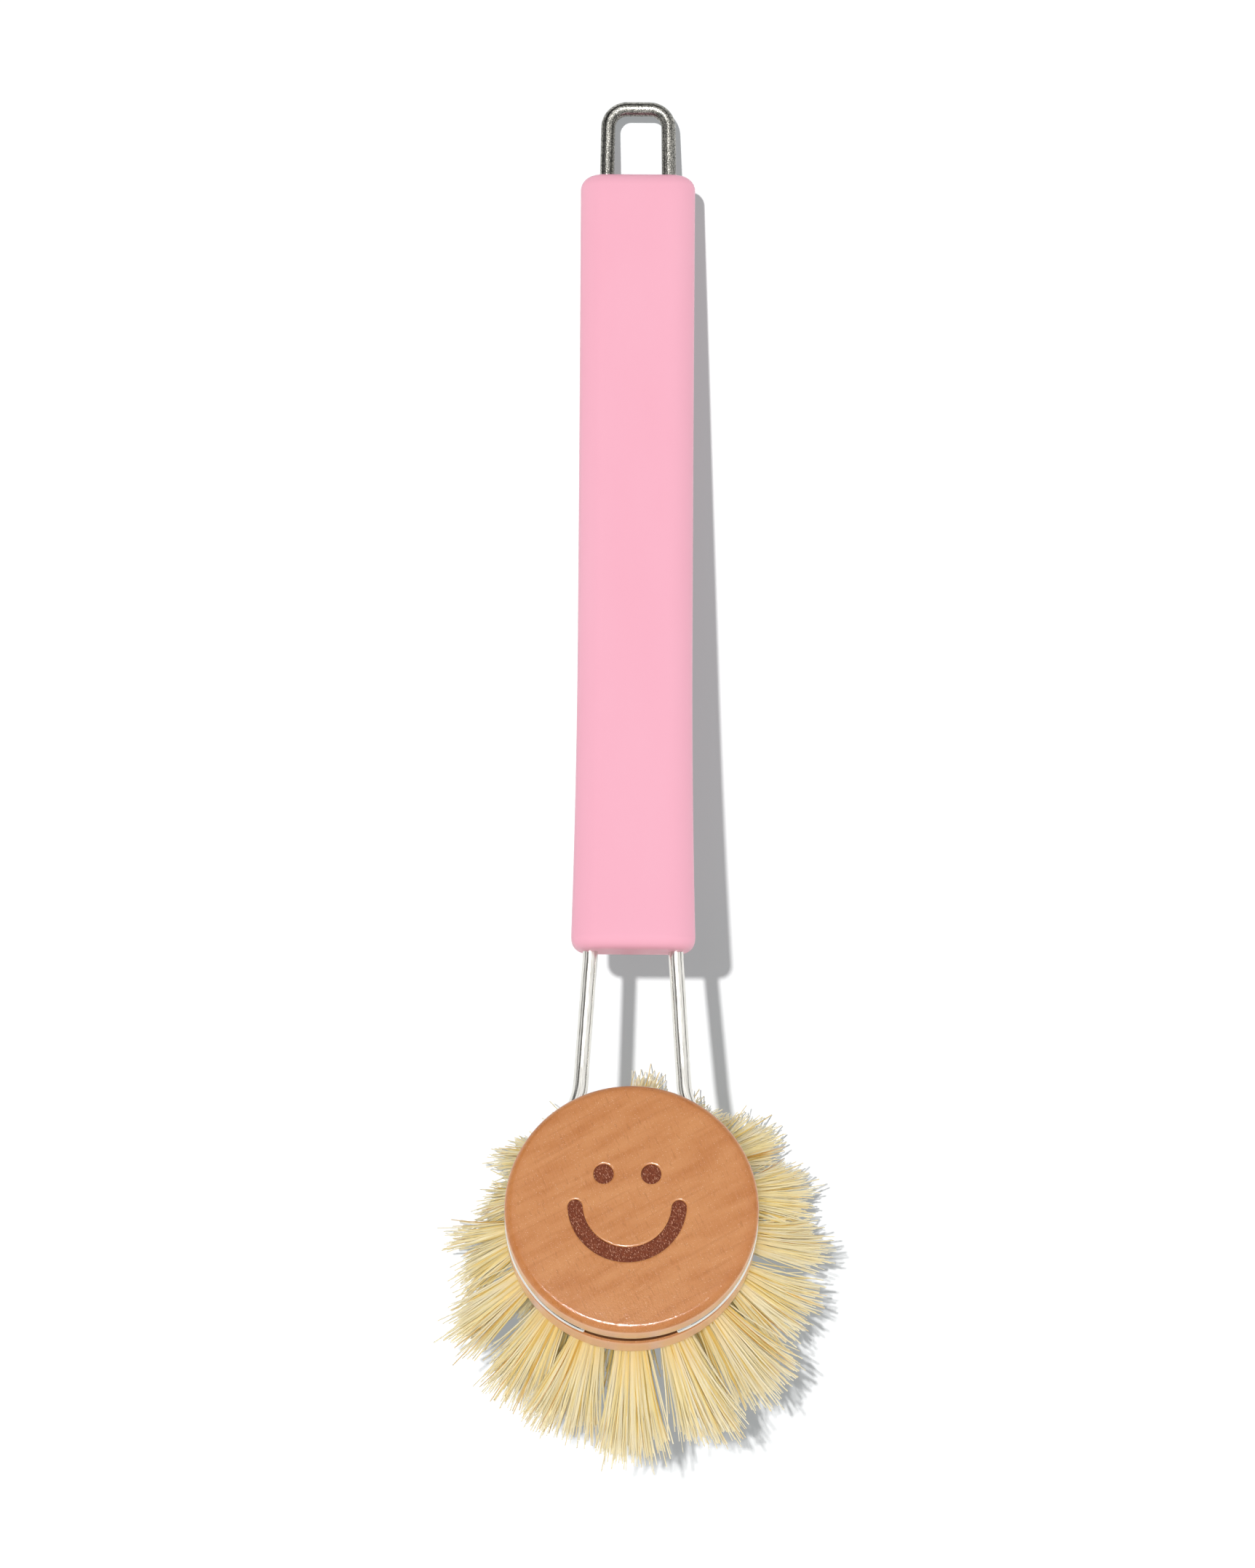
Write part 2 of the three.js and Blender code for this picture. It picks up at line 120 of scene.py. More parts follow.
# Steel of the loop: a dull mottled finish, darkened as painted shade
LOOP_STEEL_SHADED = ((0.4, (0.11, 0.11, 0.1)), (0.66, (0.54, 0.52, 0.47)))

# Wood grain and its figure, turned from the brush's length
GRAIN_TURN = math.radians(-24)
FIGURE_TURN = math.radians(-28)

# Smoothing, in degrees between faces
SHARP_ANGLE = 35
WIRE_SHARP_ANGLE = 50
FIBRE_SHARP_ANGLE = 180

# Sockets of the node that mixes colours
MIX_FACTOR = 0
MIX_FIRST = 6
MIX_SECOND = 7
MIX_RESULT = 2

# Handle
FORK_WIDTH = 20.1 * MM
WAIST_WIDTH = 18.7 * MM
LOOP_WIDTH = 19.0 * MM
WAIST_FROM_FORK = 50 * MM
EDGE_RADIUS = 4.0 * MM
END_RADIUS = 2.2 * MM
BORE_SIDES = 40
BORE_OVERRUN = 1.1

# Wire
WIRE_RADIUS = 1.2 * MM
BORE_GAP = 0.12 * MM
LOOP_LEG_SPACING = 10.3 * MM
LOOP_REACH = 13.7 * MM
LOOP_BEND_RADIUS = 3.2 * MM
FORK_LEG_SPACING = 13.8 * MM
FORK_SPLAY = math.radians(3.8)
MOUTH_BEND_GAP = 1.0 * MM
MOUTH_BEND_RADIUS = 12 * MM
KNEE_FROM_HANDLE = 18.5 * MM
KNEE_RADIUS = 10 * MM
ARM_BEND_RADIUS = 10 * MM
ARM_END = math.radians(21.5)
RING_RADIUS = 18.9 * MM
WIRE_END_BEVEL = 0.15 * MM
WIRE_SIDES = 32
DULL_AND_SHADED_REACHES = 1.2
ARM_STEPS = 60
ARM_BEND_STEPS = 20
KNEE_STEPS = 8
FORK_STEPS = 6
MOUTH_STEPS = 4
LEG_STEPS = 30
LOOP_BEND_STEPS = 20

# Head
HEAD_RADIUS = 20 * MM
HEAD_TOP = 6.35 * MM
HEAD_BOTTOM = -8.25 * MM
TOP_EDGE_RADIUS = 1.3 * MM
RIM_WIDTH = 1.6 * TOP_EDGE_RADIUS
LOWER_EDGE_RADIUS = 1.2 * MM
GROOVE_WIDTH = 2.9 * MM
GROOVE_FLOOR_RADIUS = 17.4 * MM
GROOVE_LIP = 0.25 * MM
GROOVE_LOW_LIP = 0.8 * MM
# Painted groove shade reaches this far past the groove's edges
GROOVE_SHADE = 0.1 * MM
HEAD_SEGMENTS = 160
TOP_EDGE_STEPS = 12
SIDE_STEPS = 3
LIP_STEPS = 4
GROOVE_STEPS = 14
LOW_LIP_STEPS = 8
LOW_SIDE_STEPS = 4
LOWER_EDGE_STEPS = 10

# Order of the head's materials
WOOD = 0
BURNT = 1
PAINTED_SHADE = 2

# Smile
SMILE_X = -0.7 * MM
EYE_SPACING = 7.5 * MM
EYE_DIAMETER = 3.2 * MM
EYE_HEIGHT = 5.3 * MM
EYE_SIDES = 48
MOUTH_HEIGHT = 0.5 * MM
MOUTH_RADIUS = 8.2 * MM
MOUTH_WIDTH = 2.4 * MM
MOUTH_HALF_ANGLE = math.radians(86)
BURN_DEPTH = 0.3 * MM
BURN_BEVEL = 0.1 * MM
BURN_LIP = 0.2 * MM
BURN_LIP_DROP = 0.018 * MM
BURN_MARGIN = 0.05 * MM

# Fibre
ROWS = (("outer", 15.2 * MM, 16), ("middle", 9.5 * MM, 10), ("inner", 3.8 * MM, 4))
TUFT_RADIUS = 1.85 * MM
TUFT_HOLE_DEPTH = 5.0 * MM
TUFT_HOLE_SIDES = 20
TUFT_SPLAY = math.radians(30.5)
HOLE_SPLAY = math.radians(26)
FIBRE_LENGTH = 27.4 * MM
FIBRE_ROOT_DEPTH = 2.0 * MM
FIBRES_PER_TUFT = 380
FIBRE_RADIUS = 0.16 * MM
CLUMPS = 3
CLUMP_TURN = math.radians(7)
CLUMP_RADIUS = 2.6 * MM
CLUMP_LEAN_SPREAD = 0.035
CLUMP_TURN_SPREAD = 0.03
CLUMP_LENGTH = 0.975
CLUMP_LENGTH_SPREAD = 0.025
TIP_DEPTH = 3.6 * MM
TIP_SWAY = 0.6 * MM
ROOT_ROOM = 0.9 * TUFT_RADIUS
LENGTH_SPREAD = 0.05
LENGTH_RANGE = (0.82, 1.08)
STRAY = 0.55 * MM
STRAY_FACTOR = 3
STRAY_SHARE = 0.08
STRAY_LIMIT = 2 * MM
BEND_SHARE = 0.4
BOW = 0.45 * MM
TIP_TAPER = 0.6
WIDTH_RANGE = (0.75, 1.2)
FLAT_RANGE = (0.6, 1.0)
FIBRE_STEPS = 5
FIBRE_SIDES = 3

# Soft shading of the fibres: where a lower side starts, how gradually, and how far normals turn
UNDER_SIDE = -0.2
SIDE_BLEND = 0.2
NORMAL_TURN = 0.88

# Degrees by which single tufts of the outer row lean and turn from an even ring
OUTER_LEANS = {0: 4, 1: 2, 3: -1.5, 7: -3, 8: -0.5, 9: -7, 10: -6, 11: -8, 12: -3, 15: 2}
OUTER_TURNS = {1: 3, 2: 5, 3: 5, 4: 4, 5: 2, 7: -4, 8: -8}

# Tones of the fibres, with the middle and inner rows darker as painted shade under the head, and the even spread
# of their roots
ROW_PAINTED_SHADE = {"outer": 1.0, "middle": 0.7, "inner": 0.5}
TONE_SHAPE = (1.7, 1.1)
GOLDEN_ANGLE = math.pi * (3 - math.sqrt(5))
SEED = 11


# Frames of the handle and the head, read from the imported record

def frame_matrix(normal, origin):
    """Frame with Z along normal, X across the brush and Y from the head towards the loop."""
    z = Vector(normal).normalized()
    x = Vector((1, 0, 0))
    return Matrix.Translation(origin) @ Matrix((x, z.cross(x), z)).transposed().to_4x4()


def handle_frame():
    """The handle's frame, with its origin at mid-thickness of the fork end, and its size."""
    mounts = {mount["name"]: mount for mount in frame["record"]["mounts"]}
    turn = frame_matrix(mounts["handle_top"]["axis"], (0, 0, 0))
    back = turn.inverted()
    points = np.array([back @ v.co for v in frame["nodes"]["handle"].data.vertices])
    low = points.min(0)
    high = points.max(0)
    origin = turn @ Vector((0, low[1], (low[2] + high[2]) / 2))
    return Matrix.Translation(origin) @ turn, high[1] - low[1], high[2] - low[2]


HANDLE_FRAME, HANDLE_LENGTH, HANDLE_THICKNESS = handle_frame()
SWIVEL = frame["joints"][0]
HEAD_FRAME = frame_matrix(SWIVEL["axis"], Vector(SWIVEL["pos_m"]))


# Mesh helpers

def make_piece(name, mesh, matrix, material, body, nodes, sharp=SHARP_ANGLE):
    """A finished mesh as a piece that rides on a body and stands for CAD nodes."""
    mesh.polygons.foreach_set("use_smooth", [True] * len(mesh.polygons))
    mesh.set_sharp_from_angle(angle=math.radians(sharp))
    piece = bpy.data.objects.new(name, mesh)
    bpy.context.scene.collection.objects.link(piece)
    piece.matrix_world = matrix
    for one in material if isinstance(material, list) else [material]:
        mesh.materials.append(one)
    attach(piece, body)
    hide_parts(*nodes)
    return piece


def ring_of(bm, points):
    return [bm.verts.new(p) for p in points]


def bridge(bm, first, second, material=0):
    """Band of quads between two rings with as many vertices."""
    for i in range(len(first)):
        j = (i + 1) % len(first)
        face = bm.faces.new((first[i], first[j], second[j], second[i]))
        face.material_index = material


def fill(bm, loops, normal, material=0):
    """Flat face inside the first loop and outside the others."""
    edges = []
    for verts in loops:
        for a, b in zip(verts, verts[1:] + verts[:1]):
            edges.append(bm.edges.get((a, b)) or bm.edges.new((a, b)))
    made = bmesh.ops.triangle_fill(bm, use_beauty=True, edges=edges, normal=normal)
    for item in made["geom"]:
        if isinstance(item, bmesh.types.BMFace):
            item.material_index = material


def mesh_from(bm, name):
    bmesh.ops.recalc_face_normals(bm, faces=bm.faces)
    mesh = bpy.data.meshes.new(name)
    bm.to_mesh(mesh)
    bm.free()
    return mesh


def arc(centre, radius, start, end, steps):
    """Points on an arc, with angles from the second axis towards the first."""
    angles = np.linspace(start, end, steps + 1)
    return [Vector((centre[0] + radius * math.sin(a), centre[1] + radius * math.cos(a))) for a in angles]


# Shader helpers

def add_node(tree, kind, inputs=None, **settings):
    """New shader node. An input is a number, a colour or another node's output."""
    made = tree.nodes.new(kind)
    for key, value in settings.items():
        setattr(made, key, value)
    for key, value in (inputs or {}).items():
        if isinstance(value, bpy.types.NodeSocket):
            tree.links.new(value, made.inputs[key])
        else:
            made.inputs[key].default_value = value
    return made


def new_material(name):
    material = bpy.data.materials.new(name)
    material.use_nodes = True
    tree = material.node_tree
    return material, tree, tree.nodes["Principled BSDF"]


def noise(tree, vector, scale, detail=3.0, roughness=0.5):
    """Noise whose grains measure scale metres along each axis."""
    mapped = add_node(tree, "ShaderNodeMapping", {"Vector": vector, "Scale": [1 / s for s in scale]})
    texture = add_node(
        tree,
        "ShaderNodeTexNoise",
        {"Vector": mapped.outputs[0], "Scale": 1.0, "Detail": detail, "Roughness": roughness},
    )
    return texture.outputs["Fac"]


def turned_about_z(tree, vector, angle):
    inputs = {"Vector": vector, "Angle": angle}
    return add_node(tree, "ShaderNodeVectorRotate", inputs, rotation_type="Z_AXIS").outputs[0]


def ramp(tree, value, stops):
    """Ramp over (position, linear colour) stops."""
    made = add_node(tree, "ShaderNodeValToRGB", {"Fac": value})
    elements = made.color_ramp.elements
    while len(elements) < len(stops):
        elements.new(0.5)
    for element, (place, colour) in zip(elements, stops):
        element.position = place
        element.color = (*colour, 1)
    return made.outputs["Color"]


def greys(tree, value, stops):
    """Grey ramp over (position, brightness) stops."""
    return ramp(tree, value, [(place, (grey,) * 3) for place, grey in stops])


def grey_ramp(tree, value, low, high, dark=0.0, light=1.0):
    return greys(tree, value, ((low, dark), (high, light)))


def colours(tree, value, stops):
    """Colour ramp over (position, 8-bit colour) stops."""
    return ramp(tree, value, [(place, srgb(*colour)) for place, colour in stops])


def mixed(tree, factor, first, second, blend="MIX"):
    made = add_node(tree, "ShaderNodeMix", data_type="RGBA", blend_type=blend)
    for index, value in ((MIX_FACTOR, factor), (MIX_FIRST, first), (MIX_SECOND, second)):
        if isinstance(value, bpy.types.NodeSocket):
            tree.links.new(value, made.inputs[index])
        else:
            made.inputs[index].default_value = value if index == MIX_FACTOR else (*value, 1)
    return made.outputs[MIX_RESULT]


def bumped(tree, shader, height, strength, distance):
    made = add_node(tree, "ShaderNodeBump", {"Height": height, "Strength": strength, "Distance": distance})
    tree.links.new(made.outputs[0], shader.inputs["Normal"])
    return made.outputs[0]


def object_place(tree):
    return add_node(tree, "ShaderNodeTexCoord").outputs["Object"]


def srgb(red, green, blue):
    """Linear colour of an 8-bit sRGB one."""
    def linear(value):
        share = value / 255
        return share / 12.92 if share <= 0.04045 else ((share + 0.055) / 1.055) ** 2.4

    return linear(red), linear(green), linear(blue)


# Materials

def lacquer_material():
    material, tree, shader = new_material("pink_lacquer")
    place = object_place(tree)
    cloud = noise(tree, place, (9 * MM, 22 * MM, 9 * MM), 4)
    peel = noise(tree, place, (0.9 * MM, 1.1 * MM, 0.9 * MM), 2)
    base = mixed(tree, cloud, srgb(*LACQUER_DEEP), srgb(*LACQUER_PALE))
    tree.links.new(base, shader.inputs["Base Color"])
    tree.links.new(grey_ramp(tree, peel, 0.3, 0.7, 0.36, 0.46), shader.inputs["Roughness"])
    shader.inputs["Specular IOR Level"].default_value = 0.18
    bumped(tree, shader, peel, 0.12, 0.05 * MM)
    return material


def wood_colour(tree, place):
    """Turned wood: fine fibres, broad darker figure, short dark flecks, and pale specks that are painted
    highlights, tiny glints of the lacquer.
    Returns the colour and the fibres."""
    along = turned_about_z(tree, place, GRAIN_TURN)
    across = turned_about_z(tree, place, FIGURE_TURN)
    fibres = noise(tree, along, (0.16 * MM, 3.2 * MM, 0.3 * MM), 3)
    figure = noise(tree, across, (10 * MM, 2.0 * MM, 8 * MM), 4)
    veins = noise(tree, across, (14 * MM, 0.7 * MM, 6 * MM), 2)
    flecks = noise(tree, along, (0.26 * MM, 1.4 * MM, 0.5 * MM), 1)
    painted_glints = noise(tree, place, (0.16 * MM, 0.16 * MM, 0.16 * MM), 0)
    base = colours(tree, figure, WOOD_FIGURE)
    base = mixed(tree, grey_ramp(tree, veins, 0.56, 0.66, 0.0, 0.3), base, srgb(*WOOD_VEIN))
    base = mixed(tree, grey_ramp(tree, fibres, 0.4, 0.7, 0.0, 0.4), base, srgb(*WOOD_FIBRE))
    base = mixed(tree, grey_ramp(tree, flecks, 0.63, 0.71, 0.0, 0.35), base, srgb(*WOOD_FLECK))
    # Painted highlights: pale specks standing in for tiny glints
    base = mixed(tree, grey_ramp(tree, painted_glints, 0.74, 0.8, 0.0, 0.5), base, srgb(*WOOD_PAINTED_GLINT))
    return base, fibres


def wood_material():
    """Lacquered wood, darker on the rounded rim as painted shade, and paler on the side as painted light."""
    material, tree, shader = new_material("lacquered_wood")
    place = object_place(tree)
    base, fibres = wood_colour(tree, place)
    flat = add_node(tree, "ShaderNodeVectorMath", {0: place, 1: (1, 1, 0)}, operation="MULTIPLY")
    out = add_node(tree, "ShaderNodeVectorMath", {0: flat.outputs[0]}, operation="LENGTH")
    inner = HEAD_RADIUS - RIM_WIDTH
    share = add_node(
        tree,
        "ShaderNodeMapRange",
        {"Value": out.outputs["Value"], "From Min": inner, "From Max": HEAD_RADIUS},
    ).outputs[0]
    # Painted shade: the rounded rim darker
    rim_shade = greys(tree, share, ((0.0, 0.0), (0.4, 0.25), (0.8, 0.25), (1.0, 0.0)))
    base = mixed(tree, rim_shade, base, srgb(*WOOD_RIM_PAINTED_SHADE))
    # Painted light: the side wall paler, as if lit from the front
    base = mixed(tree, grey_ramp(tree, share, 0.95, 1.0, 0.0, 0.8), base, srgb(*WOOD_SIDE_PAINTED_LIGHT))
    tree.links.new(base, shader.inputs["Base Color"])
    shader.inputs["Roughness"].default_value = 0.42
    shader.inputs["Specular IOR Level"].default_value = 0.06
    shader.inputs["Coat Weight"].default_value = 0.7
    shader.inputs["Coat Roughness"].default_value = 0.08
    pits = noise(tree, place, (0.25 * MM, 0.25 * MM, 0.25 * MM), 2)
    relief = bumped(tree, shader, mixed(tree, 0.7, fibres, pits), 0.9, 0.05 * MM)
    tree.links.new(relief, shader.inputs["Coat Normal"])
    return material


def groove_shade_material():
    """Painted shade inside the groove: the wood's grain mixed nearly all the way to a dark brown, dull."""
    material, tree, shader = new_material("painted_groove_shade")
    base, fibres = wood_colour(tree, object_place(tree))
    tree.links.new(mixed(tree, 0.85, base, srgb(*GROOVE_PAINTED_SHADE)), shader.inputs["Base Color"])
    shader.inputs["Roughness"].default_value = 0.8
    shader.inputs["Specular IOR Level"].default_value = 0.1
    bumped(tree, shader, fibres, 0.3, 0.03 * MM)
    return material


def burnt_material():
    material, tree, shader = new_material("burnt_wood")
    place = object_place(tree)
    grain = turned_about_z(tree, place, GRAIN_TURN)
    soot = noise(tree, place, (0.5 * MM, 0.5 * MM, 0.5 * MM), 4)
    specks = noise(tree, grain, (0.12 * MM, 0.36 * MM, 0.2 * MM), 1)
    base = colours(tree, soot, BURNT_WOOD)
    base = mixed(tree, grey_ramp(tree, specks, 0.6, 0.69, 0.0, 0.8), base, srgb(*BURNT_SPECK))
    tree.links.new(base, shader.inputs["Base Color"])
    shader.inputs["Roughness"].default_value = 0.55
    shader.inputs["Specular IOR Level"].default_value = 0.1
    bumped(tree, shader, specks, 0.5, 0.06 * MM)
    return material


def wire_material():
    """Drawn steel with fine specks along it, dull and mottled towards the hanging loop, where its colour is also
    darkened as painted shade for the loop's dimmer reflection.
    """
    material, tree, shader = new_material("drawn_steel")
    place = add_node(tree, "ShaderNodeAttribute", attribute_name="wire_place").outputs["Vector"]
    lines = noise(tree, place, (0.12 * MM, 0.12 * MM, 2.5 * MM), 3)
    stipple = noise(tree, place, (0.18 * MM, 0.18 * MM, 0.24 * MM), 2)
    streaks = noise(tree, place, (0.34 * MM, 0.34 * MM, 40 * MM), 1)
    drawn = grey_ramp(tree, streaks, 0.4, 0.48, 0.25, 1.0)
    dull_and_shaded = add_node(tree, "ShaderNodeAttribute", attribute_name="wire_dull_and_shaded").outputs["Fac"]
    bright = ramp(tree, lines, STEEL)
    # Towards the loop the steel is darker: partly a duller, mottled finish and partly painted shade
    loop_steel_shaded = mixed(tree, 1.0, ramp(tree, stipple, LOOP_STEEL_SHADED), drawn, "MULTIPLY")
    tree.links.new(mixed(tree, dull_and_shaded, bright, loop_steel_shaded), shader.inputs["Base Color"])
    rough = grey_ramp(tree, lines, 0.3, 0.7, 0.14, 0.28)
    rough_loop = grey_ramp(tree, stipple, 0.3, 0.7, 0.36, 0.22)
    tree.links.new(mixed(tree, dull_and_shaded, rough, rough_loop), shader.inputs["Roughness"])
    shader.inputs["Metallic"].default_value = 1.0
    faint = mixed(tree, 0.95, lines, (0.5, 0.5, 0.5))
    bumped(tree, shader, mixed(tree, dull_and_shaded, faint, stipple), 0.8, 0.04 * MM)
    return material


def anchor_material():
    material, tree, shader = new_material("cut_steel")
    lines = noise(tree, object_place(tree), (0.1 * MM, 1.5 * MM, 1.5 * MM), 3)
    tree.links.new(grey_ramp(tree, lines, 0.3, 0.7, 0.4, 0.6), shader.inputs["Base Color"])
    shader.inputs["Metallic"].default_value = 1.0
    shader.inputs["Roughness"].default_value = 0.4
    return material


def fibre_material():
    """Straw: each fibre has its own tone and is paler at the tip. Towards the root it turns golden, as painted
    warm shade between the tufts.
    """
    material, tree, shader = new_material("plant_fibre")
    tone = add_node(tree, "ShaderNodeAttribute", attribute_name="fibre_tone").outputs["Fac"]
    height = add_node(tree, "ShaderNodeAttribute", attribute_name="fibre_height").outputs["Fac"]
    streaks = noise(tree, object_place(tree), (0.3 * MM, 0.3 * MM, 3 * MM), 3)
    base = colours(tree, tone, STRAW)
    # Painted warm shade: golden towards the root
    root = mixed(tree, grey_ramp(tree, height, 0.1, 0.5, 0.5, 0.0), base, srgb(*STRAW_ROOT_WARM_SHADE))
    worn = mixed(tree, grey_ramp(tree, streaks, 0.55, 0.75, 0.0, 0.25), root, srgb(*STRAW_WORN))
    pale = mixed(tree, grey_ramp(tree, height, 0.7, 1.0, 0.0, 0.5), worn, srgb(*STRAW_TIP))
    tree.links.new(pale, shader.inputs["Base Color"])
    shader.inputs["Roughness"].default_value = 0.5
    shader.inputs["Specular IOR Level"].default_value = 0.35
    return material


# Handle

def handle_width(y):
    to_fork = y < WAIST_FROM_FORK
    end_width = FORK_WIDTH if to_fork else LOOP_WIDTH
    reach = WAIST_FROM_FORK if to_fork else HANDLE_LENGTH - WAIST_FROM_FORK
    return WAIST_WIDTH + (end_width - WAIST_WIDTH) * ((y - WAIST_FROM_FORK) / reach) ** 2


def handle_section(y, inset):
    """Rounded rectangle across the handle, drawn in by inset near an end."""
    corner_steps = 12
    flat_steps = 6
    half_x = handle_width(y) / 2 - inset
    half_z = HANDLE_THICKNESS / 2 - inset
    radius = EDGE_RADIUS - inset
    corners = [(1, 1, 0), (-1, 1, 90), (-1, -1, 180), (1, -1, 270)]
    round_points = []
    for sx, sz, start in corners:
        for i in range(corner_steps + 1):
            angle = math.radians(start + 90 * i / corner_steps)
            round_points.append(
                Vector((
                    sx * (half_x - radius) + radius * math.cos(angle),
                    y,
                    sz * (half_z - radius) + radius * math.sin(angle),
                ))
            )
    points = []
    for c in range(4):
        points += round_points[c * (corner_steps + 1):(c + 1) * (corner_steps + 1)]
        start = points[-1]
        end = round_points[((c + 1) % 4) * (corner_steps + 1)]
        points += [start.lerp(end, i / flat_steps) for i in range(1, flat_steps)]
    return points


def handle_stations():
    """Places along the handle with the inset of its rounded ends."""
    end_steps = 10
    body_steps = 60
    rounding = []
    for i in range(end_steps + 1):
        angle = math.pi / 2 * i / end_steps
        rounding.append((END_RADIUS * (1 - math.cos(angle)), END_RADIUS * (1 - math.sin(angle))))
    body = np.linspace(END_RADIUS, HANDLE_LENGTH - END_RADIUS, body_steps)[1:-1]
    return (
        rounding
        + [(y, 0.0) for y in body]
        + [(HANDLE_LENGTH - y, inset) for y, inset in reversed(rounding)]
    )


def bored(piece, start, end, radius):
    """Cuts a straight round bore through a piece, from start to end in its own frame."""
    axis = end - start
    bm = bmesh.new()
    bmesh.ops.create_cone(
        bm,
        cap_ends=True,
        segments=BORE_SIDES,
        radius1=radius,
        radius2=radius,
        depth=axis.length * BORE_OVERRUN,
    )
    turn = axis.to_track_quat("Z", "Y").to_matrix().to_4x4()
    bm.transform(piece.matrix_world @ Matrix.Translation((start + end) / 2) @ turn)
    cutter = bpy.data.objects.new("cutter", mesh_from(bm, "cutter"))
    bpy.context.scene.collection.objects.link(cutter)
    modifier = piece.modifiers.new("bore", "BOOLEAN")
    modifier.object = cutter
    modifier.solver = "EXACT"
    graph = bpy.context.evaluated_depsgraph_get()
    cut = bpy.data.meshes.new_from_object(piece.evaluated_get(graph))
    piece.modifiers.clear()
    piece.data = cut
    bpy.data.objects.remove(cutter)


def make_handle(material):
    bm = bmesh.new()
    rings = [ring_of(bm, handle_section(y, inset)) for y, inset in handle_stations()]
    for first, second in zip(rings, rings[1:]):
        bridge(bm, first, second)
    bm.faces.new(rings[0])
    bm.faces.new(rings[-1])
    piece = make_piece(
        "handle_bar",
        mesh_from(bm, "handle_bar"),
        HANDLE_FRAME,
        material,
        "handle_frame",
        ["handle"],
    )
    for side in (-1, 1):
        fork = Vector((side * FORK_LEG_SPACING / 2, 0, 0))
        loop = Vector((side * LOOP_LEG_SPACING / 2, HANDLE_LENGTH, 0))
        bored(piece, fork, loop, WIRE_RADIUS + BORE_GAP)
    piece.data.set_sharp_from_angle(angle=math.radians(SHARP_ANGLE))


# Wire

def corner(before, at, after, radius, steps):
    """Points round the corner between two straight runs."""
    into = (at - before).normalized()
    out = (after - at).normalized()
    turn = into.angle(out)
    start = at - into * radius * math.tan(turn / 2)
    inward = (out - into * math.cos(turn)).normalized()
    return [
        start + into * radius * math.sin(a) + inward * radius * (1 - math.cos(a))
        for a in np.linspace(0, turn, steps + 1)
    ]


def straight(start, end, steps):
    """Points between two ends, without the ends."""
    return [start.lerp(end, i / steps) for i in range(1, steps)]


def half_wire():
    """Centreline from the end of one arm to the middle of the hanging loop, in the handle's frame."""
    to_handle = HANDLE_FRAME.inverted() @ HEAD_FRAME
    ring_centre = to_handle @ Vector((0, 0, 0))

    def in_ring(point):
        return to_handle @ Vector((point[0], point[1], 0))

    fork = Vector((FORK_LEG_SPACING / 2, 0, 0))
    loop = Vector((LOOP_LEG_SPACING / 2, HANDLE_LENGTH, 0))
    slope = (loop.x - fork.x) / HANDLE_LENGTH
    mouth = Vector((fork.x - slope * MOUTH_BEND_GAP, -MOUTH_BEND_GAP, 0))
    knee_x = mouth.x + (KNEE_FROM_HANDLE - MOUTH_BEND_GAP) * math.tan(FORK_SPLAY)
    knee = Vector((knee_x, -KNEE_FROM_HANDLE, 0))
    knee_to_centre = (Vector((0, knee.y, 0)) - Vector((0, ring_centre.y, ring_centre.z))).length

    along = Vector((math.sin(FORK_SPLAY), -math.cos(FORK_SPLAY)))
    outward = Vector((math.cos(FORK_SPLAY), math.sin(FORK_SPLAY)))
    offset = Vector((knee_x, knee_to_centre)) + outward * ARM_BEND_RADIUS
    reach = RING_RADIUS + ARM_BEND_RADIUS
    middle = offset.dot(along)
    run = -middle - math.sqrt(middle ** 2 - offset.length_squared + reach ** 2)
    bend = offset + along * run
    arm_start = math.atan2(bend.x, bend.y)
    leg_end = in_ring(bend - outward * ARM_BEND_RADIUS)

    top_y = HANDLE_LENGTH + LOOP_REACH - WIRE_RADIUS
    loop_corner = Vector((loop.x + slope * (top_y - HANDLE_LENGTH), top_y, 0))
    loop_middle = Vector((0, top_y, 0))

    arm = [in_ring(p) for p in arc((0, 0), RING_RADIUS, math.pi - ARM_END, arm_start, ARM_STEPS)]
    turn_start = arm_start + math.pi
    turn_end = 1.5 * math.pi - FORK_SPLAY
    turn = [in_ring(p) for p in arc(bend, ARM_BEND_RADIUS, turn_start, turn_end, ARM_BEND_STEPS)]
    knee_bend = corner(leg_end, knee, mouth, KNEE_RADIUS, KNEE_STEPS)
    mouth_bend = corner(knee, mouth, loop, MOUTH_BEND_RADIUS, MOUTH_STEPS)
    loop_bend = corner(mouth, loop_corner, loop_middle, LOOP_BEND_RADIUS, LOOP_BEND_STEPS)
    return (
        arm
        + turn[1:]
        + knee_bend
        + straight(knee_bend[-1], mouth_bend[0], FORK_STEPS)
        + mouth_bend
        + straight(mouth_bend[-1], loop_bend[0], LEG_STEPS)
        + loop_bend
    )


def tube(bm, centreline, radii, sides):
    """Closed tube swept along a centreline, with a radius for each of its points."""
    points = [Vector(p) for p in centreline]
    rings = []
    side = None
    for i, point in enumerate(points):
        ahead = (points[min(i + 1, len(points) - 1)] - points[max(i - 1, 0)]).normalized()
        if side is None:
            side = ahead.orthogonal()
        side = (side - ahead * side.dot(ahead)).normalized()
        up = ahead.cross(side)
        angles = [2 * math.pi * k / sides for k in range(sides)]
        rings.append(
            ring_of(bm, [point + (side * math.cos(a) + up * math.sin(a)) * radii[i] for a in angles])
        )
    for first, second in zip(rings, rings[1:]):
        bridge(bm, first, second)
    bm.faces.new(rings[0])
    bm.faces.new(rings[-1])


